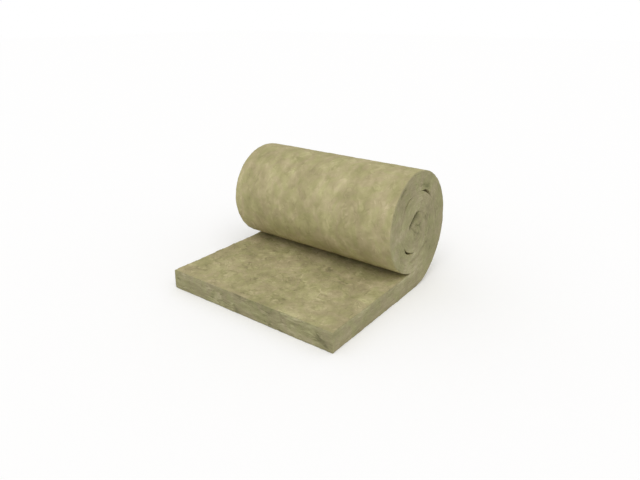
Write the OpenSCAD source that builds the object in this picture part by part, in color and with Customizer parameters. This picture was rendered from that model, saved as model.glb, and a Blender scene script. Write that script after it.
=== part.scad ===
// Rock wool roof insulation mat, partly unrolled.
//
// It is one continuous mat. Its flat tail lies on the floor, and the rest is
// wound back over the tail into a roll. Seen from the side, the wound part is
// a chain of half rings, on the right and on the left of the roll's axis by
// turns. Each half ring is smaller than the one before by half the pitch of a
// turn, so the mat keeps its thickness and its faces run on without a step.
//
// The turns press on each other, so the roll is solid in the middle of its
// width, and the seam between the turns is a groove on each end of the roll.
//
// X runs from the cut end of the tail to the roll, Y along the roll's axis and
// Z up. The origin is on the floor, under the middle of the whole mat.

/* [Mat] */
// Width of the mat, along the axis of the roll
mat_width = 1000; // [600:10:1200]
// Thickness of the mat
mat_thickness = 100; // [60:5:140]

/* [Roll] */
// Height of the roll above the floor
roll_height = 630; // [560:5:800]
// Width of the seam between one turn and the next
seam_gap = 5; // [3:0.5:12]
// Depth of the seam's groove on each end of the roll
seam_depth = 25; // [5:5:100]

/* [Tail] */
// Length of the flat tail, from the axis of the roll to its cut end
tail_length = 720; // [500:10:1500]

/* [Hidden] */
$fn = 180;

// The surface of the mat steps inwards by this much at each full turn
turn_pitch = mat_thickness + seam_gap;

// The mat can't be bent tighter than this share of its thickness, so the
// smallest half ring at the heart of the roll is at least this large
tightest_bend = mat_thickness / 4;
half_turns = floor((roll_height - 2 * tightest_bend) / turn_pitch) + 1;

// Moves the axis of the roll, where the profile is drawn from, to its place
// beside the middle of the whole mat
axis_x = (tail_length - roll_height / 2) / 2;

// Outer radius of half ring i, counted from the outside of the roll
function half_ring_radius(i) = (roll_height - i * turn_pitch) / 2;

// Height of its centre: a right half ring (even i) stands on the turn below,
// and a left half ring (odd i) hangs from the turn above
function half_ring_height(i) =
    i % 2 == 0
        ? i / 2 * turn_pitch + half_ring_radius(i)
        : roll_height - (i - 1) / 2 * turn_pitch - half_ring_radius(i);

module half_disc(radius, right_side) {
    intersection() {
        circle(r = radius);
        translate([right_side ? 0 : -radius, -radius])
            square([radius, 2 * radius]);
    }
}

// Half of a ring of the mat's thickness, or half of a disc where the mat is
// bent so tightly that it fills the ring
module half_ring(radius, right_side) {
    bore_radius = radius - mat_thickness;
    difference() {
        half_disc(radius, right_side);
        if (bore_radius > 0)
            circle(r = bore_radius);
    }
}

module rolled_profile() {
    for (i = [0 : half_turns - 1])
        translate([0, half_ring_height(i)])
            half_ring(half_ring_radius(i), i % 2 == 0);
}

// The outside of the roll, without the seams inside it
module roll_outline() {
    for (i = [0 : 1])
        translate([0, half_ring_height(i)])
            half_disc(half_ring_radius(i), i % 2 == 0);
}

module tail_profile() {
    translate([-tail_length, 0])
        square([tail_length, mat_thickness]);
}

module mat() {
    color([0.66, 0.62, 0.46])
        translate([axis_x, 0, 0])
            rotate([90, 0, 0])
                union() {
                    linear_extrude(height = mat_width, center = true)
                        union() {
                            tail_profile();
                            rolled_profile();
                        }
                    linear_extrude(height = mat_width - 2 * seam_depth, center = true)
                        roll_outline();
                }
}

mat();
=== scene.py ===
# %% [markdown]
# # A rock wool roof insulation mat, partly unrolled
#
# The real thing is one long mat of felted mineral fibre. It is delivered
# rolled up, and here its first stretch is unrolled and lies flat on the floor.
# This lesson rebuilds it in Blender around a solid model of the same mat. That
# model gives the sizes that matter: the width of the mat, the height of the
# roll and the place of the roll's axis.

# %% Load the solid model
import math

import bpy
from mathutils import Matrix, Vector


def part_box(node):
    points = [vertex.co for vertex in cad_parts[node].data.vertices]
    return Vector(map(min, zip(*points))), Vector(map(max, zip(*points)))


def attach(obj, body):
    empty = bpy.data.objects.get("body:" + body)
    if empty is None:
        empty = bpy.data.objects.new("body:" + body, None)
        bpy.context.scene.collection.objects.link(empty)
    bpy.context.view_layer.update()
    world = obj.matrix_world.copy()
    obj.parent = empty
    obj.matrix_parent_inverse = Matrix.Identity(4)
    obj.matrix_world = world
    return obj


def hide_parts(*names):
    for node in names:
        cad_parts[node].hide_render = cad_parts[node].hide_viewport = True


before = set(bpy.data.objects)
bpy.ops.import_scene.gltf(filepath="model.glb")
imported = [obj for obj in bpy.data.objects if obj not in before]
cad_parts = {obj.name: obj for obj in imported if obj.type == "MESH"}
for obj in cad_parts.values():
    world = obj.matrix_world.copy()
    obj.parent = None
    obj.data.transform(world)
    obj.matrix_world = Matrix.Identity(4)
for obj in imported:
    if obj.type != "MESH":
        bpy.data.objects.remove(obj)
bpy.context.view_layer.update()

# %% [markdown]
# ## The sizes
#
# The solid model's box gives the outside of the mat. Two sizes can't be read
# from a box, and are stated here as they are in the solid model: how thick the
# mat is, and how wide the seam between two turns of the roll is drawn. In
# Blender the turns fill that seam, because real turns press on each other.

# %% Sizes of the mat, in metres
mat_low, mat_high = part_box("mat")
MAT_WIDTH = mat_high[1] - mat_low[1]
ROLL_HEIGHT = mat_high[2]
MAT_THICKNESS = 0.100
SEAM_GAP = 0.005
TURN_PITCH = MAT_THICKNESS + SEAM_GAP
AXIS_X = mat_high[0] - ROLL_HEIGHT / 2
TAIL_LENGTH = AXIS_X - mat_low[0]
print(f"mat {MAT_WIDTH:.3f} wide, roll {ROLL_HEIGHT:.3f} high, tail {TAIL_LENGTH:.3f} long")

# %% [markdown]
# ## A short way to write node trees
#
# Geometry and materials are both built from nodes. They could be placed by hand
# in Blender's node editor, but a script that says what is added to what is
# easier to read and to change. A `Value` is the output of a node, and arithmetic
# on it adds Math nodes by itself, so `1 - mask` or `0.5 * (a + b)` can be
# written down as it would be on paper.


# %% Values
class Value:
    """The output of a node. Arithmetic on it adds Math nodes to the same tree."""

    def __init__(self, nodes, socket):
        self.nodes = nodes
        self.socket = socket

    def math(self, operation, first, second=0.0):
        return self.nodes.add("ShaderNodeMath", {"operation": operation}, {0: first, 1: second})

    def __add__(self, other):
        return self.math("ADD", self, other)

    def __radd__(self, other):
        return self.math("ADD", other, self)

    def __sub__(self, other):
        return self.math("SUBTRACT", self, other)

    def __rsub__(self, other):
        return self.math("SUBTRACT", other, self)

    def __mul__(self, other):
        return self.math("MULTIPLY", self, other)

    def __rmul__(self, other):
        return self.math("MULTIPLY", other, self)

    def __truediv__(self, other):
        return self.math("DIVIDE", self, other)

    def __rtruediv__(self, other):
        return self.math("DIVIDE", other, self)

    def at_least(self, other):
        return self.math("MAXIMUM", self, other)

    def at_most(self, other):
        return self.math("MINIMUM", self, other)

    def is_above(self, other):
        return self.math("GREATER_THAN", self, other)

    def rounded(self):
        return self.math("ROUND", self)

    def root(self):
        return self.math("SQRT", self)

    def size(self):
        return self.math("ABSOLUTE", self)

    def towards(self, other, share):
        """This value at share 0, the other one at share 1, and in between."""
        return self + (other - self) * share

    def between(self, low, high):
        """0 up to low, 1 from high, with a soft start and end in between."""
        return self.nodes.add(
            "ShaderNodeMapRange",
            {"interpolation_type": "SMOOTHSTEP"},
            {"Value": self, "From Min": low, "From Max": high},
        )


print("values can be added, subtracted, multiplied and divided")

# %% [markdown]
# `Nodes` adds nodes to one tree. Its method `add` makes any node: the node's
# settings are put in first, and then the values or links of its sockets. The
# other methods are short names for nodes that are used often. Colours and
# vectors have nodes of their own, because a Math node would turn them into a
# single number.


# %% Nodes
class Nodes:
    """Adds nodes to one tree."""

    def __init__(self, tree):
        self.tree = tree

    def add(self, kind, settings=None, sockets=None, output=0):
        node = self.tree.nodes.new(kind)
        for name, value in (settings or {}).items():
            setattr(node, name, value)
        for name, value in (sockets or {}).items():
            if isinstance(value, Value):
                self.tree.links.new(value.socket, node.inputs[name])
            else:
                node.inputs[name].default_value = value
        return Value(self, node.outputs[output]) if node.outputs else None

    def vector(self, operation, first, second=(0.0, 0.0, 0.0)):
        return self.add("ShaderNodeVectorMath", {"operation": operation}, {0: first, 1: second})

    def scaled(self, vector, factor):
        sockets = {0: vector, "Scale": factor}
        return self.add("ShaderNodeVectorMath", {"operation": "SCALE"}, sockets)

    def combined(self, x, y, z):
        return self.add("ShaderNodeCombineXYZ", None, {0: x, 1: y, 2: z})

    def parts(self, vector):
        separated = self.add("ShaderNodeSeparateXYZ", None, {0: vector})
        return [Value(self, output) for output in separated.socket.node.outputs]

    def mixed_vector(self, share, first, second):
        settings = {"data_type": "VECTOR", "clamp_factor": False}
        return self.add("ShaderNodeMix", settings, {0: share, 4: first, 5: second}, 1)

    def mixed_color(self, share, first, second, blend="MIX"):
        settings = {"data_type": "RGBA", "blend_type": blend}
        return self.add("ShaderNodeMix", settings, {0: share, 6: first, 7: second}, 2)

    def noise(self, vector, scale, detail=2.0, roughness=0.5, distortion=0.0, output=0):
        sockets = {
            "Vector": vector,
            "Scale": scale,
            "Detail": detail,
            "Roughness": roughness,
            "Distortion": distortion,
        }
        return self.add("ShaderNodeTexNoise", None, sockets, output)

    def ripple(self, vector, *noise):
        """Noise that swings around 0."""
        return self.noise(vector, *noise) - 0.5


print("nodes can be added to a tree")

# %% [markdown]
# ## The camera
#
# The camera looks down on the corner of the tail from the front left, so that
# the unrolled stretch, the front of the roll and the turns on its end all show.
# A camera that is tilted down makes upright edges lean. So it is tilted less than
# it would have to be, and its frame is shifted down a little instead. A larger
# shift would keep the edges straighter, but it would push the mat out of the
# frame when the camera moves round it.

# %% Camera
CAMERA_PLACE = (-2.196, -1.681, 1.376)
CAMERA_TURN = math.radians(36.62)
CAMERA_DIP = math.radians(16.28)
CAMERA_SHIFT = 0.10
LENS_MM = 31.68
SENSOR_MM = 36

camera_data = bpy.data.cameras.new("camera")
camera_data.lens = LENS_MM
camera_data.sensor_width = SENSOR_MM
camera_data.shift_y = -CAMERA_SHIFT
camera = bpy.data.objects.new("camera", camera_data)
bpy.context.scene.collection.objects.link(camera)
camera.location = CAMERA_PLACE
camera.rotation_euler = (math.pi / 2 - CAMERA_DIP, 0, CAMERA_TURN - math.pi / 2)
bpy.context.scene.camera = camera
print("camera at", CAMERA_PLACE)

# %% [markdown]
# ## Floor and light
#
# A pale studio: one very soft sun high up behind the camera, and an even pale
# sky all round. The floor is a plain sheet, much wider than the mat, so that its
# edge never shows. Stronger lamps could make it white, but they would bleach the
# wool too. So a little glow, which only the camera sees, lifts its colour to
# white, and it still shows the soft shadow of the mat.

# %% Floor
FLOOR_SIZE = 60
FLOOR_PAINT = (0.92, 0.917, 0.915, 1)
FLOOR_GLOW = 0.09


def floor_material():
    material = bpy.data.materials.new("pale floor")
    material.use_nodes = True
    material.node_tree.nodes.clear()
    nodes = Nodes(material.node_tree)
    seen = nodes.add("ShaderNodeLightPath", None, None, "Is Camera Ray")
    paint = nodes.add("ShaderNodeBsdfDiffuse", None, {"Color": FLOOR_PAINT})
    glow = nodes.add("ShaderNodeEmission", None, {"Strength": seen * FLOOR_GLOW})
    both = nodes.add("ShaderNodeAddShader", None, {0: paint, 1: glow})
    nodes.add("ShaderNodeOutputMaterial", None, {"Surface": both})
    return material


def make_floor():
    half = FLOOR_SIZE / 2
    corners = [(-half, -half, 0), (half, -half, 0), (half, half, 0), (-half, half, 0)]
    mesh = bpy.data.meshes.new("floor")
    mesh.from_pydata(corners, [], [(0, 1, 2, 3)])
    mesh.materials.append(floor_material())
    floor = bpy.data.objects.new("floor", mesh)
    bpy.context.scene.collection.objects.link(floor)


make_floor()
print("floor", FLOOR_SIZE, "m wide")

# %% Sun and sky
SUN_HEIGHT = math.radians(58)
SUN_SIDE = math.radians(216)
SUN_STRENGTH = 1.2
SUN_SPREAD = math.radians(55)
SKY_STRENGTH = 0.66
WHITE = (1, 1, 1, 1)


def make_sun():
    lamp = bpy.data.lights.new("soft sun", "SUN")
    lamp.energy = SUN_STRENGTH
    lamp.angle = SUN_SPREAD
    sun = bpy.data.objects.new("soft sun", lamp)
    bpy.context.scene.collection.objects.link(sun)
    sun.rotation_euler = (0, math.pi / 2 - SUN_HEIGHT, SUN_SIDE)


def make_sky():
    """An even sky. The camera sees it white, and the mat is lit by less of it."""
    world = bpy.data.worlds.new("pale sky")
    world.use_nodes = True
    world.node_tree.nodes.clear()
    nodes = Nodes(world.node_tree)
    seen = nodes.add("ShaderNodeLightPath", None, None, "Is Camera Ray")
    strength = SKY_STRENGTH + (1 - SKY_STRENGTH) * seen
    sky = nodes.add("ShaderNodeBackground", None, {"Color": WHITE, "Strength": strength})
    nodes.add("ShaderNodeOutputWorld", None, {"Surface": sky})
    bpy.context.scene.world = world


make_sun()
make_sky()
bpy.context.scene.view_settings.view_transform = "Standard"
print("sun", SUN_STRENGTH, "and sky", SKY_STRENGTH)

# %% [markdown]
# ## The path of the mat
#
# Seen from the side, the mat has two faces. The outer face is the underside of
# the tail and then the outside of the roll. The inner face is the top of the
# tail and then the inside of the roll. Each turn of the roll lies on the turn
# inside it, so the inner face of one turn follows the outer face of the next
# one. They could share one surface, but then the mesh would touch itself, so a
# hair's breadth is left between them. It also makes the turns show on the ends.
#
# The roll could be one smooth spiral. Here it is a chain of half rings, as in
# the solid model, on the right and on the left of the axis by turns, each
# smaller than the one before by half a pitch. An angle says where on the roll a
# point is: it starts at the floor, under the axis, and counts on through all
# turns.

# %% The outer face
HALF_TURN = math.pi
FULL_TURN = 2 * HALF_TURN
# The half rings round the heart, which is in one more, the smallest
OUTER_RINGS = 4
# The roll sags a little where it lies on the tail: how far, and how wide
NIP_SAG = 0.0045
NIP_WIDTH = 0.13
# Two pressed faces keep this far apart, so that they never cut through each other
PRESSED_GAP = 0.0003


def half_ring(number):
    """Outer radius and height of the centre of a half ring, counted from outside."""
    radius = (ROLL_HEIGHT - number * TURN_PITCH) / 2
    if number % 2 == 0:
        return radius, number / 2 * TURN_PITCH + radius
    return radius, ROLL_HEIGHT - (number - 1) / 2 * TURN_PITCH - radius


def outer_face(angle):
    """A point of the outer face, (x, z), with x counted from the roll's axis."""
    radius, height = half_ring(int(angle // HALF_TURN))
    sag = NIP_SAG * math.exp(-(((angle - FULL_TURN) * radius / NIP_WIDTH) ** 2))
    return radius * math.sin(angle), height - radius * math.cos(angle) - sag


print("radius and height of the rings:", [half_ring(n) for n in range(OUTER_RINGS + 1)])

# %% [markdown]
# The heart of the roll is where the mat starts. Its cut end can't be bent, so it lies straight
# across the heart, pressed against the turn around it. A dark crease shows there: a narrow gap in
# the mesh, with painted shade along it on the ends. The inner face folds up on itself and is much
# shorter than the outer face, which runs on round the fold. The tip of the fold is round, if only
# just: at a sharp tip the two sides of the fold would cut through each other.

# %% The heart of the roll
HEART_START = OUTER_RINGS * HALF_TURN
HEART_END = HEART_START + math.radians(171)
FOLD_START = (0.000, 0.310)
FOLD_END = (-0.057, 0.357)
FOLD_RADIUS = 0.0004
# The share of the heart's angle in which the face turns round the fold's tip
TIP_SHARE = 0.35
CREASE_START = outer_face(HEART_END)
CREASE_REACHED = HEART_END - FULL_TURN
# The share of the last turn's inner face that runs down the crease
CREASE_SHARE = 0.6
CREASE_GAP = 0.002
# Where the crease is wider: share of its length, half width as a share, and depth
CREASE_POCKETS = [(0.36, 0.18, 0.012), (0.84, 0.12, 0.012)]


def along(first, second, share):
    """A point on the way from the first one to the second."""
    return tuple(a + (b - a) * share for a, b in zip(first, second))


def beside(start, end, share, distance):
    """A point on the way from start to end, set off to the right of the line."""
    x, z = along(start, end, share)
    dx, dz = end[0] - start[0], end[1] - start[1]
    length = math.hypot(dx, dz)
    return x + dz / length * distance, z - dx / length * distance


def crease_gap(share):
    """How wide the crease is at a share of its length, from its upper end."""
    pockets = sum(depth * math.exp(-(((share - at) / w) ** 2)) for at, w, depth in CREASE_POCKETS)
    return CREASE_GAP + pockets


def face_around_heart(angle):
    """The inner face of the turn around the heart: down the crease, then up the fold."""
    share = (angle - CREASE_REACHED) / (HEART_START - CREASE_REACHED)
    if share > CREASE_SHARE:
        share = (share - CREASE_SHARE) / (1 - CREASE_SHARE)
        return beside(FOLD_END, FOLD_START, share, FOLD_RADIUS)
    share /= CREASE_SHARE
    return beside(CREASE_START, FOLD_END, share, crease_gap(share))


def face_of_heart(angle):
    """The inner face of the heart itself: round the tip of the fold, then back."""
    share = (angle - HEART_START) / (HEART_END - HEART_START)
    if share > TIP_SHARE:
        return beside(FOLD_START, FOLD_END, (share - TIP_SHARE) / (1 - TIP_SHARE), FOLD_RADIUS)
    turn = HALF_TURN * share / TIP_SHARE
    past_tip = FOLD_RADIUS * math.sin(turn) / math.dist(FOLD_START, FOLD_END)
    return beside(FOLD_END, FOLD_START, 1 + past_tip, FOLD_RADIUS * math.cos(turn))


print("crease from", CREASE_START, "to", FOLD_END)


# %% The inner face
def inner_face(angle):
    """The point of the inner face, (x, z), that lies over the outer face's."""
    if angle >= HEART_START:
        return face_of_heart(angle)
    if angle >= CREASE_REACHED:
        return face_around_heart(angle)
    next_turn, own_outside = outer_face(angle + FULL_TURN), outer_face(angle)
    return along(next_turn, own_outside, PRESSED_GAP / math.dist(next_turn, own_outside))


print("under the axis the mat's top is at", inner_face(0.0))

# %% [markdown]
# ## Where the turns have sprung apart
#
# The seams are closed nearly all the way round, but here and there the wool has
# sprung apart at one end of the roll and left a crescent. Each crescent is a
# middle and a half width, as angles, and how far it opens. It closes again
# towards the other end.

# %% Crescents
# (middle in degrees, half width in degrees, opening) of each crescent
NEAR_CRESCENTS = [(153, 20, 0.011), (331, 27, 0.011), (222, 30, 0.006)]
FAR_CRESCENTS = [(62, 26, 0.011), (258, 28, 0.012)]
CRESCENTS = [NEAR_CRESCENTS, FAR_CRESCENTS]
# From this opening on, the two faces of a seam are as bare as the outside
SPRUNG = 0.008


def opening(angle, crescents):
    """How far those crescents open the seam under this angle."""
    total = 0.0
    for middle, half_width, widest in crescents:
        share = abs(math.degrees(angle) - middle) / half_width
        if share < 1:
            total += widest * math.cos(share * math.pi / 2) ** 2
    return total


def smooth(value, low, high):
    """0 up to low, 1 from high, with a soft start and end in between."""
    share = min(max((value - low) / (high - low), 0), 1)
    return share * share * (3 - 2 * share)


def sprung_open(angle):
    """At each end: 1 where the seam under this angle is well open, 0 where it is closed."""
    return [smooth(opening(angle, crescents), 0, SPRUNG) for crescents in CRESCENTS]


print("crescents at the near end:", len(NEAR_CRESCENTS), "and at the far end:", len(FAR_CRESCENTS))

# %% [markdown]
# ## Stations along the mat
#
# The mat is described by stations, one every centimetre or so: a point on its
# outer face and the point on its inner face that lies over it. Each station
# also holds some values, one for the near end of the roll and one for the far
# end: how far its seam is open there, and whether each face is bare or pressed
# against the next turn. A face has relief and rounded edges only where it is
# bare, and two pressed edges meet in a fine line.

# %% One station
# The tail swells a little before the roll presses it down: how far, and from
# where to where, counted from the roll's axis
TAIL_RISE = 0.0045
TAIL_SWELLS = (-0.13, -0.045)
# Where the tail's top, and where the roll's outside, change from bare to pressed
TAIL_PRESSED = (-0.11, -0.05)
OUTSIDE_PRESSED = (FULL_TURN - 0.34, FULL_TURN - 0.15)


def roll_underside(x):
    """Height of the roll over the tail, at x from the roll's axis."""
    radius, _ = half_ring(1)
    if x <= -radius:
        return math.inf
    return outer_face(FULL_TURN - math.asin(-x / radius))[1]


class Station:
    """Two points, and pairs of values that hold at the near end and at the far end."""

    def __init__(self, outer, inner, gaps, outer_bare, inner_bare):
        self.outer, self.inner = outer, inner
        self.middle = along(outer, inner, 0.5)
        self.values = [*gaps, *outer_bare, *inner_bare]


def tail_station(x):
    top = MAT_THICKNESS + TAIL_RISE * smooth(x, *TAIL_SWELLS)
    top = min(top, roll_underside(x) - PRESSED_GAP)
    inner_bare = 1 - smooth(x, *TAIL_PRESSED)
    return Station((x, 0.0), (x, top), [0.0, 0.0], [1.0, 1.0], [inner_bare, inner_bare])


def roll_station(angle):
    gaps = [opening(angle, crescents) for crescents in CRESCENTS]
    outside = 1 - smooth(angle, *OUTSIDE_PRESSED)
    outer_bare = [max(outside, sprung) for sprung in sprung_open(angle - FULL_TURN)]
    return Station(outer_face(angle), inner_face(angle), gaps, outer_bare, sprung_open(angle))


print("the tail's cut end is at", tail_station(-TAIL_LENGTH).middle)

# %% All stations
# About how far apart the stations are
CELL = 0.0098
# The edges are rounded with two narrow cells. The outer one takes this share
EDGE_RADIUS = 0.005
EDGE_CELLS = 2
EDGE_SHARE = 0.4
STATION_VALUES = [
    f"{end}_{name}" for name in ("gap", "outer_bare", "inner_bare") for end in ("near", "far")
]


def steps(start, end, count):
    """Even steps from the start up to the end, without the end itself."""
    return [start + (end - start) * i / count for i in range(count)]


def all_stations():
    cut_end = -TAIL_LENGTH
    stations = [tail_station(cut_end), tail_station(cut_end + EDGE_SHARE * EDGE_RADIUS)]
    flat_start = cut_end + EDGE_RADIUS
    stations += [tail_station(x) for x in steps(flat_start, 0.0, round(-flat_start / CELL))]
    for number in range(OUTER_RINGS + 1):
        radius, _ = half_ring(number)
        start = number * HALF_TURN
        end = min(start + HALF_TURN, HEART_END)
        count = round((end - start) * radius / CELL)
        stations += [roll_station(angle) for angle in steps(start, end, count)]
    stations.append(roll_station(HEART_END))
    return stations


def make_stations():
    """A mesh of loose points: all outer points first, and then all inner ones."""
    stations = all_stations()
    runs = [0.0]
    for before, after in zip(stations, stations[1:]):
        runs.append(runs[-1] + math.dist(before.middle, after.middle))
    faces = [s.outer for s in stations] + [s.inner for s in stations]
    mesh = bpy.data.meshes.new("stations")
    mesh.from_pydata([(AXIS_X + x, 0.0, z) for x, z in faces], [], [])
    columns = [runs] + [list(column) for column in zip(*(s.values for s in stations))]
    for name, column in zip(["run"] + STATION_VALUES, columns):
        attribute = mesh.attributes.new(name, "FLOAT", "POINT")
        attribute.data.foreach_set("value", column + column)
    return mesh, len(stations), runs[-1]


station_mesh, STATIONS, MAT_LENGTH = make_stations()
print(STATIONS, "stations along", round(MAT_LENGTH, 3), "m of mat")

# %% [markdown]
# ## From stations to the mat
#
# The mesh could be written out point by point in Python. A Geometry Nodes tree
# does it at once for all points, and its sizes stay inputs that can be changed.
# It starts from a plain block of cells, as long as there are stations. Each
# cell corner is on one station, in one row across the mat and in one layer
# through it, and looks up what its station holds.


# %% The block of cells, and what a station holds
def block_of_cells(nodes, given):
    """A plain block, and the station, row and layer that each of its corners is on."""
    counts = [given["Stations Along"], given["Points Across"], given["Points Through"]]
    sockets = {"Size": (1, 1, 1)}
    for axis, count in zip("XYZ", counts):
        sockets["Vertices " + axis] = count
    block = nodes.add("GeometryNodeMeshCube", None, sockets)
    corner = nodes.parts(nodes.add("GeometryNodeInputPosition"))
    places = [((place + 0.5) * (count - 1)).rounded() for place, count in zip(corner, counts)]
    return block, places


def stored(nodes, name):
    """An attribute of the geometry, by name."""
    return nodes.add("GeometryNodeInputNamedAttribute", None, {"Name": name})


def held_by_station(nodes, given, station):
    """The two points and the values that a station holds, by name."""

    def at_station(field, kind, index):
        sockets = {"Geometry": given["Stations"], "Value": field, "Index": index}
        return nodes.add("GeometryNodeSampleIndex", {"data_type": kind}, sockets)

    place = nodes.add("GeometryNodeInputPosition")
    held = {
        "outer": at_station(place, "FLOAT_VECTOR", station),
        "inner": at_station(place, "FLOAT_VECTOR", station + given["Stations Along"]),
    }
    for name in ["run"] + STATION_VALUES:
        held[name] = at_station(stored(nodes, name), "FLOAT", station)
    return held


print("a station holds its run and", STATION_VALUES)

# %% [markdown]
# ## The flat mat
#
# The block is first treated as the mat as it is cut: a flat slab, with its
# length, width and thickness as coordinates. A knife leaves felt with slightly
# soft edges. A Bevel modifier could round them, but it would add cells of its
# own, and the rounding has to fade out where a face is pressed. So each corner
# near an edge is pulled in to a ball's distance from the slab's core, and only
# as far as its face is bare.


# %% The flat slab
def graded(step, steps_in_all, size, radius):
    """Where a row of cells lies: two narrow cells round each edge, even ones between."""
    from_edge = step.at_most(steps_in_all - step)
    cell = (size - 2 * radius) / (steps_in_all - 2 * EDGE_CELLS)
    first = EDGE_SHARE * from_edge.at_most(1.0)
    second = (1 - EDGE_SHARE) * (from_edge - 1.0).at_least(0.0).at_most(1.0)
    distance = radius * (first + second) + cell * (from_edge - EDGE_CELLS).at_least(0.0)
    return distance + (step / steps_in_all).is_above(0.5) * (size - 2 * distance)


def flat_place(nodes, given, places, held):
    """Where a corner is on the flat mat, and how bare the mat is there."""
    length, width, thickness = given["Length"], given["Width"], given["Thickness"]
    radius = given["Edge Radius"]
    across = graded(places[1], given["Points Across"] - 1, width, radius)
    through = graded(places[2], given["Points Through"] - 1, thickness, radius)

    def bareness(end):
        outer_bare, inner_bare = held[end + "_outer_bare"], held[end + "_inner_bare"]
        return outer_bare + (inner_bare - outer_bare) * through / thickness

    near_bare, far_bare = bareness("near"), bareness("far")
    bare = near_bare + (far_bare - near_bare) * across / width

    sharp = nodes.combined(held["run"], across, through)
    core_low = nodes.combined(radius, radius, radius)
    core_high = nodes.combined(length - radius, width - radius, thickness - radius)
    core = nodes.vector("MINIMUM", nodes.vector("MAXIMUM", sharp, core_low), core_high)
    outwards = nodes.vector("NORMALIZE", nodes.vector("SUBTRACT", sharp, core))
    rounded = nodes.vector("ADD", core, nodes.scaled(outwards, radius))
    return nodes.mixed_vector(bare, sharp, rounded), bare


print("edges are rounded by", EDGE_RADIUS, "m")

# %% [markdown]
# ## Rolling it up
#
# Each corner then goes to its station, between the outer and the inner face. A
# Curve modifier could bend a slab along a path, but it would keep the same
# thickness all along, and would not know where the seam is open.


# %% The rolled up mat
def rolled_place(nodes, given, flat, held):
    """The same corner on the rolled up mat, between the two faces of its station."""
    run, across, through = nodes.parts(flat)
    share = through / given["Thickness"]
    inwards = nodes.vector("NORMALIZE", nodes.vector("SUBTRACT", held["inner"], held["outer"]))
    forwards = nodes.vector("CROSS_PRODUCT", (0, 1, 0), inwards)
    gap = held["near_gap"].towards(held["far_gap"], across / given["Width"])
    place = nodes.mixed_vector(share, held["outer"], held["inner"])
    place = nodes.vector("ADD", place, nodes.scaled(forwards, run - held["run"]))
    place = nodes.vector("SUBTRACT", place, nodes.scaled(inwards, gap * share))
    return nodes.vector("ADD", place, nodes.combined(0.0, across - given["Width"] * 0.5, 0.0))


print("the roll's axis is at x =", round(AXIS_X, 4))

# %% [markdown]
# ## Relief of the two ends of the roll
#
# The ends of the real roll aren't flat. The felt bulges out at the heart, where it is bent most,
# and creases run where it is squeezed or folded. They could be sculpted by hand. Here each of them
# is a spot or a chain of points with a soft profile, and the tree adds them up, so they stay where
# they belong on the end. How deep the creases are is also stored, so that the material can paint
# shade into them.

# %% Creases and bulges
# Creases: a chain of points (x from the roll's axis, height), depth and half width
NEAR_CREASES = [
    ([(0.002, 0.408), (-0.030, 0.386), (-0.060, 0.360)], 0.010, 0.026),
    ([(-0.042, 0.345), (-0.010, 0.312), (0.033, 0.297)], 0.003, 0.014),
    ([(-0.010, 0.352), (0.033, 0.344), (0.057, 0.310)], 0.003, 0.014),
    ([(-0.053, 0.163), (0.033, 0.175), (0.123, 0.225)], 0.004, 0.014),
    ([(-0.166, 0.540), (-0.126, 0.569)], 0.006, 0.014),
    ([(0.066, 0.550), (0.122, 0.525)], 0.005, 0.018),
]
FAR_CREASES = [
    ([(0.006, 0.411), (-0.030, 0.387), (-0.062, 0.359)], 0.010, 0.026),
    ([(-0.020, 0.300), (0.020, 0.285), (0.055, 0.300)], 0.003, 0.014),
    ([(-0.150, 0.480), (-0.110, 0.520)], 0.003, 0.014),
]
# Bulges: x, height, radius, and how far each stands out
NEAR_BULGES = [(0.024, 0.378, 0.042, 0.016), (0.004, 0.326, 0.040, 0.007)]
FAR_BULGES = [(0.022, 0.355, 0.050, 0.011)]
# How deep the relief of an end reaches into the roll
END_DEPTH = 0.05
# The depth of crease at which the material paints its full shade
FULL_SHADE_CREASE_DEPTH = 0.012


def distance_to_line(x, z, start, end):
    """How far (x, z) is from the straight line between two points."""
    dx, dz = end[0] - start[0], end[1] - start[1]
    px, pz = x - start[0], z - start[1]
    share = ((px * dx + pz * dz) / (dx * dx + dz * dz)).at_least(0.0).at_most(1.0)
    ex, ez = px - share * dx, pz - share * dz
    return (ex * ex + ez * ez).root()


def creasing(x, z, creases):
    """How deep the creases are at (x, z)."""
    total = 0.0
    for points, depth, half_width in creases:
        distances = [distance_to_line(x, z, a, b) for a, b in zip(points, points[1:])]
        nearest = distances[0]
        for distance in distances[1:]:
            nearest = nearest.at_most(distance)
        total = total + depth * (1 - nearest.between(0.0, half_width))
    return total


def bulging(x, z, bulges):
    """How far the bulges stand out at (x, z)."""
    total = 0.0
    for bulge_x, bulge_z, radius, height in bulges:
        dx, dz = x - bulge_x, z - bulge_z
        total = total + height * (1 - (dx * dx + dz * dz).root().between(0.0, radius))
    return total


def end_relief(nodes, given, flat, rolled):
    """How far the ends' relief moves a corner along Y, and how much painted shade its creases get
    there.
    """
    x, _, z = nodes.parts(rolled)
    x = x - AXIS_X
    _, across, _ = nodes.parts(flat)
    near_end = 1 - across.between(0.0, END_DEPTH)
    far_end = 1 - (given["Width"] - across).between(0.0, END_DEPTH)
    near_crease = creasing(x, z, NEAR_CREASES) * near_end
    far_crease = creasing(x, z, FAR_CREASES) * far_end
    near_bulge = bulging(x, z, NEAR_BULGES) * near_end
    far_bulge = bulging(x, z, FAR_BULGES) * far_end
    relief = far_bulge - far_crease - (near_bulge - near_crease)
    return relief, (near_crease + far_crease) / FULL_SHADE_CREASE_DEPTH


print("creases:", len(NEAR_CREASES), "near and", len(FAR_CREASES), "far")

# %% [markdown]
# ## The wool's own relief
#
# Felted fibre is never smooth: it has flat lumps, curled wrinkles and small
# tufts. They could be left to the material as bump, but the edges of the mat
# would stay straight as a ruler. So three noises move the points themselves,
# along the normal. A pressed face has no relief, so that it stays clear of its
# neighbour, but on the two ends the relief runs on from turn to turn. The
# wrinkles are higher on the inner face, which is the rougher one.

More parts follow.
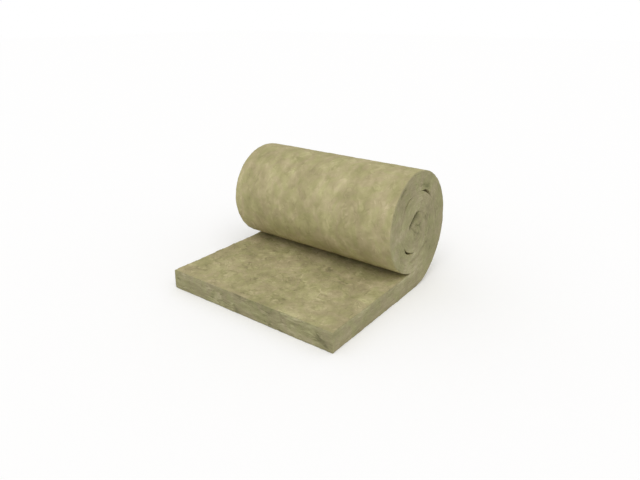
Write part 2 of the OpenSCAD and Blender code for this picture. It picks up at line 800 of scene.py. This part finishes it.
# %% Relief of the wool
# The noises, from large to fine: scale, detail, roughness and distortion
LUMP_NOISE = (8.0, 2.0, 0.5)
WRINKLE_NOISE = (26.0, 2.0, 0.55, 1.6)
TUFT_NOISE = (75.0, 1.0, 0.5, 0.8)
# How much higher the wrinkles are on the inner face, as a share, and the shares of
# the thickness between which they grow to that
MORE_WRINKLES_INSIDE = 0.7
WRINKLES_GROW = (0.5, 1.0)


def wool_relief(nodes, given):
    """How far the wool's relief moves each point."""
    place = nodes.add("GeometryNodeInputPosition")
    inside = stored(nodes, "inside").between(*WRINKLES_GROW)
    wrinkle_height = given["Wrinkle Height"] * (1 + inside * MORE_WRINKLES_INSIDE)
    height = (
        given["Lump Height"] * nodes.ripple(place, *LUMP_NOISE)
        + wrinkle_height * nodes.ripple(place, *WRINKLE_NOISE)
        + given["Tuft Height"] * nodes.ripple(place, *TUFT_NOISE)
    )
    bare = stored(nodes, "bare")
    normal_x, normal_y, normal_z = nodes.parts(nodes.add("GeometryNodeInputNormal"))
    free_way = nodes.combined(normal_x * bare, normal_y, normal_z * bare)
    return nodes.scaled(free_way, height)


print("wrinkles are", 1 + MORE_WRINKLES_INSIDE, "times as high on the inner face")

# %% [markdown]
# ## The whole tree
#
# The tree puts the steps together. What the mat was before it was rolled up,
# the distances along it, across it and through it, is stored as the attribute
# `flat`, so that the wool's pattern can follow the mat. At the end nothing
# reaches below the floor, instances are made real, and the material is set.

# %% The tree
MAT_INPUTS = {
    "Stations": "NodeSocketGeometry",
    "Stations Along": "NodeSocketInt",
    "Points Across": "NodeSocketInt",
    "Points Through": "NodeSocketInt",
    "Length": "NodeSocketFloat",
    "Width": "NodeSocketFloat",
    "Thickness": "NodeSocketFloat",
    "Edge Radius": "NodeSocketFloat",
    "Lump Height": "NodeSocketFloat",
    "Wrinkle Height": "NodeSocketFloat",
    "Tuft Height": "NodeSocketFloat",
}


def new_tree(name, sockets):
    """A Geometry Nodes tree with those inputs, and its inputs as values by name."""
    tree = bpy.data.node_groups.new(name, "GeometryNodeTree")
    for socket_name, kind in sockets.items():
        tree.interface.new_socket(socket_name, in_out="INPUT", socket_type=kind)
    tree.interface.new_socket("Geometry", in_out="OUTPUT", socket_type="NodeSocketGeometry")
    nodes = Nodes(tree)
    group_input = nodes.add("NodeGroupInput").socket.node
    return tree, nodes, {s.name: Value(nodes, s) for s in group_input.outputs if s.name}


def end_tree(nodes, geometry, material):
    """Realizes the geometry, gives it its material and passes it on."""
    real = nodes.add("GeometryNodeRealizeInstances", None, {"Geometry": geometry})
    finished = nodes.add("GeometryNodeSetMaterial", None, {"Geometry": real})
    finished.socket.node.inputs["Material"].default_value = material
    nodes.add("NodeGroupOutput", None, {"Geometry": finished})


def mat_tree(material):
    tree, nodes, given = new_tree("mat from its stations", MAT_INPUTS)

    def moved(geometry, **sockets):
        return nodes.add("GeometryNodeSetPosition", None, {"Geometry": geometry, **sockets})

    mat, places = block_of_cells(nodes, given)
    held = held_by_station(nodes, given, places[0])
    flat, bare = flat_place(nodes, given, places, held)
    rolled = rolled_place(nodes, given, flat, held)
    relief, painted_crease_shade = end_relief(nodes, given, flat, rolled)
    inside = nodes.parts(flat)[2] / given["Thickness"]
    for name, kind, value in (
        ("flat", "FLOAT_VECTOR", flat),
        ("bare", "FLOAT", bare),
        ("inside", "FLOAT", inside),
        ("painted_crease_shade", "FLOAT", painted_crease_shade),
    ):
        settings = {"data_type": kind, "domain": "POINT"}
        sockets = {"Geometry": mat, "Name": name, "Value": value}
        mat = nodes.add("GeometryNodeStoreNamedAttribute", settings, sockets)

    mat = moved(mat, Position=nodes.vector("ADD", rolled, nodes.combined(0.0, relief, 0.0)))
    mat = moved(mat, Offset=wool_relief(nodes, given))
    x, y, z = nodes.parts(nodes.add("GeometryNodeInputPosition"))
    mat = moved(mat, Position=nodes.combined(x, y, z.at_least(0.0)))
    mat = nodes.add("GeometryNodeSetShadeSmooth", None, {"Geometry": mat})
    end_tree(nodes, mat, material)
    return tree


print("the tree has", len(MAT_INPUTS), "inputs")

# %% [markdown]
# A tree runs as a modifier on a base mesh, here the loose points of the
# stations. Its result is copied into a plain mesh of its own, and the base is
# removed, so that the finished piece has no modifier left.


# %% Running a tree
def grown(name, base_mesh, tree, **inputs):
    """A plain mesh object with what the tree makes from a base mesh."""
    base = bpy.data.objects.new(name + "_base", base_mesh)
    bpy.context.scene.collection.objects.link(base)
    modifier = base.modifiers.new("nodes", "NODES")
    modifier.node_group = tree
    for item in tree.interface.items_tree:
        key = item.name.replace(" ", "_").lower()
        if item.in_out == "INPUT" and key in inputs:
            modifier[item.identifier] = inputs[key]
    graph = bpy.context.evaluated_depsgraph_get()
    mesh = bpy.data.meshes.new_from_object(base.evaluated_get(graph), depsgraph=graph)
    mesh.name = name
    base.modifiers.clear()
    bpy.data.objects.remove(base)
    piece = bpy.data.objects.new(name, mesh)
    bpy.context.scene.collection.objects.link(piece)
    return piece


print("a tree is run with its inputs set by their identifiers")

# %% [markdown]
# ## The look of rock wool
#
# Rock wool is a felt of fine fibres in olive khaki. From a distance it is
# mottled: pale straw where the felt is loose, and grey green where it is dense.
# Closer up it shows short curled wrinkles and single fibres. A ready-made
# texture could be laid over the mat, but it would repeat, and it would be
# stretched on the turns. So all of it is worked out from noise, in the
# coordinates of the flat mat, and the pattern bends with the mat.
#
# The wool doesn't look the same all over, so masks say which kind of face a
# point is on. The outside of the roll has large soft blotches. The top of the
# tail and its cut end are rougher, with more short curls. The cuts are greyer.

# %% Kinds of face
# A point is on a cut up to this far from it, and off it from the edge's radius on
CUT_INSET = 0.001
# Shares of the thickness between which the mat changes from outer to inner face
INSIDE_RANGE = (0.4, 0.9)


def kinds_of_face(nodes, flat):
    """Masks from 0 to 1 that say which kind of face a point is on."""
    run, across, through = nodes.parts(flat)
    from_side = across.at_most(MAT_WIDTH - across)
    from_cut = from_side.at_most(run).at_most(MAT_LENGTH - run)
    side, cut, end = (
        1 - distance.between(CUT_INSET, EDGE_RADIUS) for distance in (from_side, from_cut, run)
    )
    rough = (through / MAT_THICKNESS).between(*INSIDE_RANGE).at_least(end)
    return {"side": side, "cut": cut, "end": end, "rough": rough, "coarse": rough.at_least(cut)}


print("a cut fades out over", round(EDGE_RADIUS - CUT_INSET, 4), "m")

# %% [markdown]
# The pattern of the wool is a sum of noises, from large blotches to single
# fibres. The blotches are drawn out along the mat. Where the mat is cut, the
# felt shows its layers, so there the curls and the folds are drawn out along
# the layers and thin through them, and so are the patches on the tail's cut
# end. On the two sides of the roll the blotches and patches don't follow the
# mat: they run on from turn to turn.

# %% Noises of the wool
# Scale, detail, roughness and distortion
BLOTCH_NOISE = (6.5, 2.0, 0.5, 0.3)
PATCH_NOISE = (15.0, 2.0, 0.5, 0.3)
SOFT_CURL_NOISE = (26.0, 2.0, 0.5, 0.8)
DRAWN_CURL_NOISE = (26.0, 3.0, 0.55, 2.4)
LAYERED_CURL_NOISE = (26.0, 3.0, 0.55, 1.0)
FINE_TUFT_NOISE = (150.0, 3.0, 0.65, 1.5)
SWIRL_NOISE = (15.0, 2.0, 0.5)
ACROSS_FIBRE_NOISE = (380.0, 2.0, 0.6)
ALONG_FIBRE_NOISE = (330.0, 2.0, 0.6)
# How the coordinates of the flat mat are scaled to draw a pattern out
ALONG_MAT = (0.6, 1.0, 1.0)
IN_LAYERS = (0.5, 0.5, 2.4)
ACROSS_FIBRES = (1.0, 0.12, 1.0)
ALONG_FIBRES = (0.12, 1.0, 1.0)
# Where the pattern of the two sides starts
SIDE_START = (0.0, 0.0, 0.35)
# How far the swirl bends the fibres, in metres, and how much less it does on a cut
SWIRL = 0.06
LESS_SWIRL_ON_CUT = 0.6


def felt_place(nodes, flat, masks):
    """Where the blotches are looked up: in space on the two sides, else on the flat mat."""
    in_space = nodes.add("ShaderNodeTexCoord", None, None, "Object")
    in_space = nodes.vector("ADD", in_space, SIDE_START)
    return nodes.mixed_vector(masks["side"], flat, in_space)


def bent_place(nodes, flat, masks):
    """The flat mat, bent by a slow swirl."""
    swirl = nodes.noise(flat, *SWIRL_NOISE, output=1)
    swirl = nodes.vector("SUBTRACT", swirl, (0.5, 0.5, 0.5))
    reach = SWIRL * (1 - LESS_SWIRL_ON_CUT * masks["cut"])
    return nodes.vector("ADD", flat, nodes.scaled(swirl, reach))


def curls(nodes, flat, layers, masks):
    """Curled wrinkles: soft on the outside, twisted where it is rough, layered on cuts."""
    soft = nodes.ripple(flat, *SOFT_CURL_NOISE)
    drawn = nodes.ripple(flat, *DRAWN_CURL_NOISE)
    layered = nodes.ripple(layers, *LAYERED_CURL_NOISE)
    return soft.towards(drawn, masks["rough"]).towards(layered, masks["cut"])


def fibres(nodes, bent):
    """Fine noise, drawn out across the mat in one set and along it in another."""
    across = nodes.noise(nodes.vector("MULTIPLY", bent, ACROSS_FIBRES), *ACROSS_FIBRE_NOISE)
    along_mat = nodes.noise(nodes.vector("MULTIPLY", bent, ALONG_FIBRES), *ALONG_FIBRE_NOISE)
    return across + along_mat - 1.0


print("fibres from noise of scale", ACROSS_FIBRE_NOISE[0], "and", ALONG_FIBRE_NOISE[0])

# %% [markdown]
# Where a curl of wool lies over its own shadow, it makes a short soft fold. The tone paints its
# shadow as a dark line, with a painted highlight as a light flank beside it, and the bump adds
# only a little relief. A line like that follows a contour of slow noise, as a path follows one
# height on a hillside. A second noise breaks it up into short pieces.

# %% Soft folds
# Scale of the contours, scale of their breaks, and strength, of each set of folds
FOLDS = [(12.0, 17.0, 1.0), (23.0, 27.0, 0.8)]
# Half width of the painted shadow line, and where the painted light flank rises and falls, in
# contours
FOLD_SHADOW_LINE = 0.07
LIT_FLANK_RISE = (0.02, 0.09)
LIT_FLANK_FALL = (0.10, 0.20)
FOLD_BREAKS = (0.46, 0.66)


def folds(nodes, flat, folded):
    """Broken pieces of contour: below 0 on their painted shadow line, above 0 on their painted
    light flank.
    """
    total = 0.0
    for scale, scale_of_breaks, strength in FOLDS:
        contour = nodes.ripple(folded, scale, 1.0, 0.5, 0.8)
        shadow_line = 1 - contour.size().between(0.0, FOLD_SHADOW_LINE)
        lit_flank = contour.between(*LIT_FLANK_RISE) * (1 - contour.between(*LIT_FLANK_FALL))
        pieces = nodes.noise(flat, scale_of_breaks, 1.0).between(*FOLD_BREAKS)
        total = total + strength * (pieces * (lit_flank - shadow_line))
    return total


print(len(FOLDS), "sets of folds")


# %% All patterns
def wool_patterns(nodes, flat, felt, masks):
    """The patterns of the wool by name. All but the ground swing around 0."""
    layers = nodes.vector("MULTIPLY", flat, IN_LAYERS)
    bent = bent_place(nodes, flat, masks)
    bent_layers = nodes.vector("MULTIPLY", bent, IN_LAYERS)
    folded = nodes.mixed_vector(masks["cut"], bent, bent_layers)
    patched = nodes.mixed_vector(masks["end"], felt, layers)
    return {
        "ground": 1.0,
        "blotches": nodes.ripple(nodes.vector("MULTIPLY", felt, ALONG_MAT), *BLOTCH_NOISE),
        "patches": nodes.ripple(patched, *PATCH_NOISE),
        "curls": curls(nodes, flat, layers, masks),
        "tufts": nodes.ripple(flat, *FINE_TUFT_NOISE),
        "fibres": fibres(nodes, bent),
        "folds": folds(nodes, flat, folded),
    }


def blended(patterns, strengths, masks):
    """The sum of the patterns, each with its strength on the kind of face it is on."""
    total = 0.0
    for name, (everywhere, more) in strengths.items():
        strength = everywhere
        for mask, extra in more.items():
            strength = strength + extra * masks[mask]
        total = total + strength * patterns[name]
    return total


print("patterns are blended by kind of face")

# %% [markdown]
# The blended patterns give a tone, from dark to light. The tone picks a colour
# between three shades of wool, and two tints that wander over the mat make it
# warmer here and greener there. The same patterns, with other strengths, also
# drive the bump, so that what looks like a curl catches the light like one.

# %% Tone, colour and bump
# Strength of each pattern: everywhere, and what each kind of face adds to it
TONE = {
    "ground": (0.60, {"coarse": -0.08}),
    "blotches": (0.75, {"rough": 0.10}),
    "patches": (0.80, {"rough": 0.18, "side": -0.15}),
    "curls": (0.40, {"coarse": 0.20, "side": -0.10}),
    "tufts": (0.16, {"cut": 0.24}),
    "fibres": (0.19, {"cut": 0.36}),
    # In the tone the folds are painted shade and painted light: a curl's shadow and its lit flank
    "folds": (0.15, {"rough": 0.08, "end": 0.10}),
}
BUMP = {
    "curls": (0.6, {"rough": 0.6}),
    "tufts": (0.35, {}),
    "fibres": (0.3, {}),
    "folds": (0.1, {"rough": 0.18}),
}
BUMP_STRENGTH = 0.6
BUMP_DISTANCE = 0.004
# How much the painted shade darkens the creases on the ends
PAINTED_SHADE_STRENGTH = 0.8
# Tones between which the wool goes from dark to middle, and from middle to light
TO_MIDDLE = (-0.25, 0.6)
TO_LIGHT = (0.4, 1.25)
WOOL_DARK = (0.215, 0.200, 0.098, 1)
WOOL_MIDDLE = (0.395, 0.354, 0.188, 1)
WOOL_LIGHT = (0.620, 0.562, 0.326, 1)
# Tints that wander over the wool: a warm grey one and a green one
WARM_TINT = (1.03, 0.985, 1.045, 1)
GREEN_TINT = (0.98, 1.005, 0.93, 1)
TINT_NOISE = (11.0, 3.0, 0.6, 1.2)
TINT_RANGE = (0.34, 0.66)
# Cuts are greyer than the faces: on the two sides, and on the tail's cut end
CUT_TINT = (0.835, 0.86, 0.91, 1)
END_CUT_TINT = (0.76, 0.785, 0.82, 1)
WOOL_ROUGHNESS = 0.95
WOOL_SPECULAR = 0.1


def wool_color(nodes, tone, felt, masks):
    """The shade of wool at a tone, with its tints."""
    wool = nodes.mixed_color(tone.between(*TO_MIDDLE), WOOL_DARK, WOOL_MIDDLE)
    wool = nodes.mixed_color(tone.between(*TO_LIGHT), wool, WOOL_LIGHT)
    wander = nodes.noise(felt, *TINT_NOISE).between(*TINT_RANGE)
    tint = nodes.mixed_color(wander, WARM_TINT, GREEN_TINT)
    wool = nodes.mixed_color(1.0, wool, tint, "MULTIPLY")
    cut_tint = nodes.mixed_color(masks["end"], CUT_TINT, END_CUT_TINT)
    cut_wool = nodes.mixed_color(1.0, wool, cut_tint, "MULTIPLY")
    return nodes.mixed_color(masks["cut"], wool, cut_wool)


def rock_wool_material():
    material = bpy.data.materials.new("rock wool")
    material.use_nodes = True
    material.node_tree.nodes.clear()
    nodes = Nodes(material.node_tree)
    flat = nodes.add("ShaderNodeAttribute", {"attribute_name": "flat"}, None, "Vector")
    painted_crease_shade = nodes.add("ShaderNodeAttribute", {"attribute_name": "painted_crease_shade"}, None, "Fac")
    masks = kinds_of_face(nodes, flat)
    felt = felt_place(nodes, flat, masks)
    patterns = wool_patterns(nodes, flat, felt, masks)

    # The creases on the ends get painted shade: their stored depth darkens the tone on the cuts
    tone = blended(patterns, TONE, masks) - PAINTED_SHADE_STRENGTH * painted_crease_shade * masks["cut"]
    height = blended(patterns, BUMP, masks)
    bump = {"Strength": BUMP_STRENGTH, "Distance": BUMP_DISTANCE, "Height": height}
    look = {
        "Base Color": wool_color(nodes, tone, felt, masks),
        "Roughness": WOOL_ROUGHNESS,
        "Specular IOR Level": WOOL_SPECULAR,
        "Normal": nodes.add("ShaderNodeBump", None, bump),
    }
    surface = nodes.add("ShaderNodeBsdfPrincipled", None, look)
    nodes.add("ShaderNodeOutputMaterial", None, {"Surface": surface})
    return material


rock_wool = rock_wool_material()
print("rock wool has", len(rock_wool.node_tree.nodes), "nodes")

# %% [markdown]
# ## The mat
#
# Now the tree runs, with the sizes and the wool. The number of points across and through keeps the
# mat under 200,000 triangles, with cells of about a centimetre on all faces. The finished mat
# stands for the solid one, which is hidden.

# %% The mat
POINTS_ACROSS = 97
POINTS_THROUGH = 17
LUMP_HEIGHT = 0.006
WRINKLE_HEIGHT = 0.005
TUFT_HEIGHT = 0.002

mat = grown(
    "rock_wool_mat",
    station_mesh,
    mat_tree(rock_wool),
    stations_along=STATIONS,
    points_across=POINTS_ACROSS,
    points_through=POINTS_THROUGH,
    length=MAT_LENGTH,
    width=MAT_WIDTH,
    thickness=MAT_THICKNESS,
    edge_radius=EDGE_RADIUS,
    lump_height=LUMP_HEIGHT,
    wrinkle_height=WRINKLE_HEIGHT,
    tuft_height=TUFT_HEIGHT,
)
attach(mat, "root")
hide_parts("mat")
print("mat:", len(mat.data.vertices), "points,", 2 * len(mat.data.polygons), "triangles")
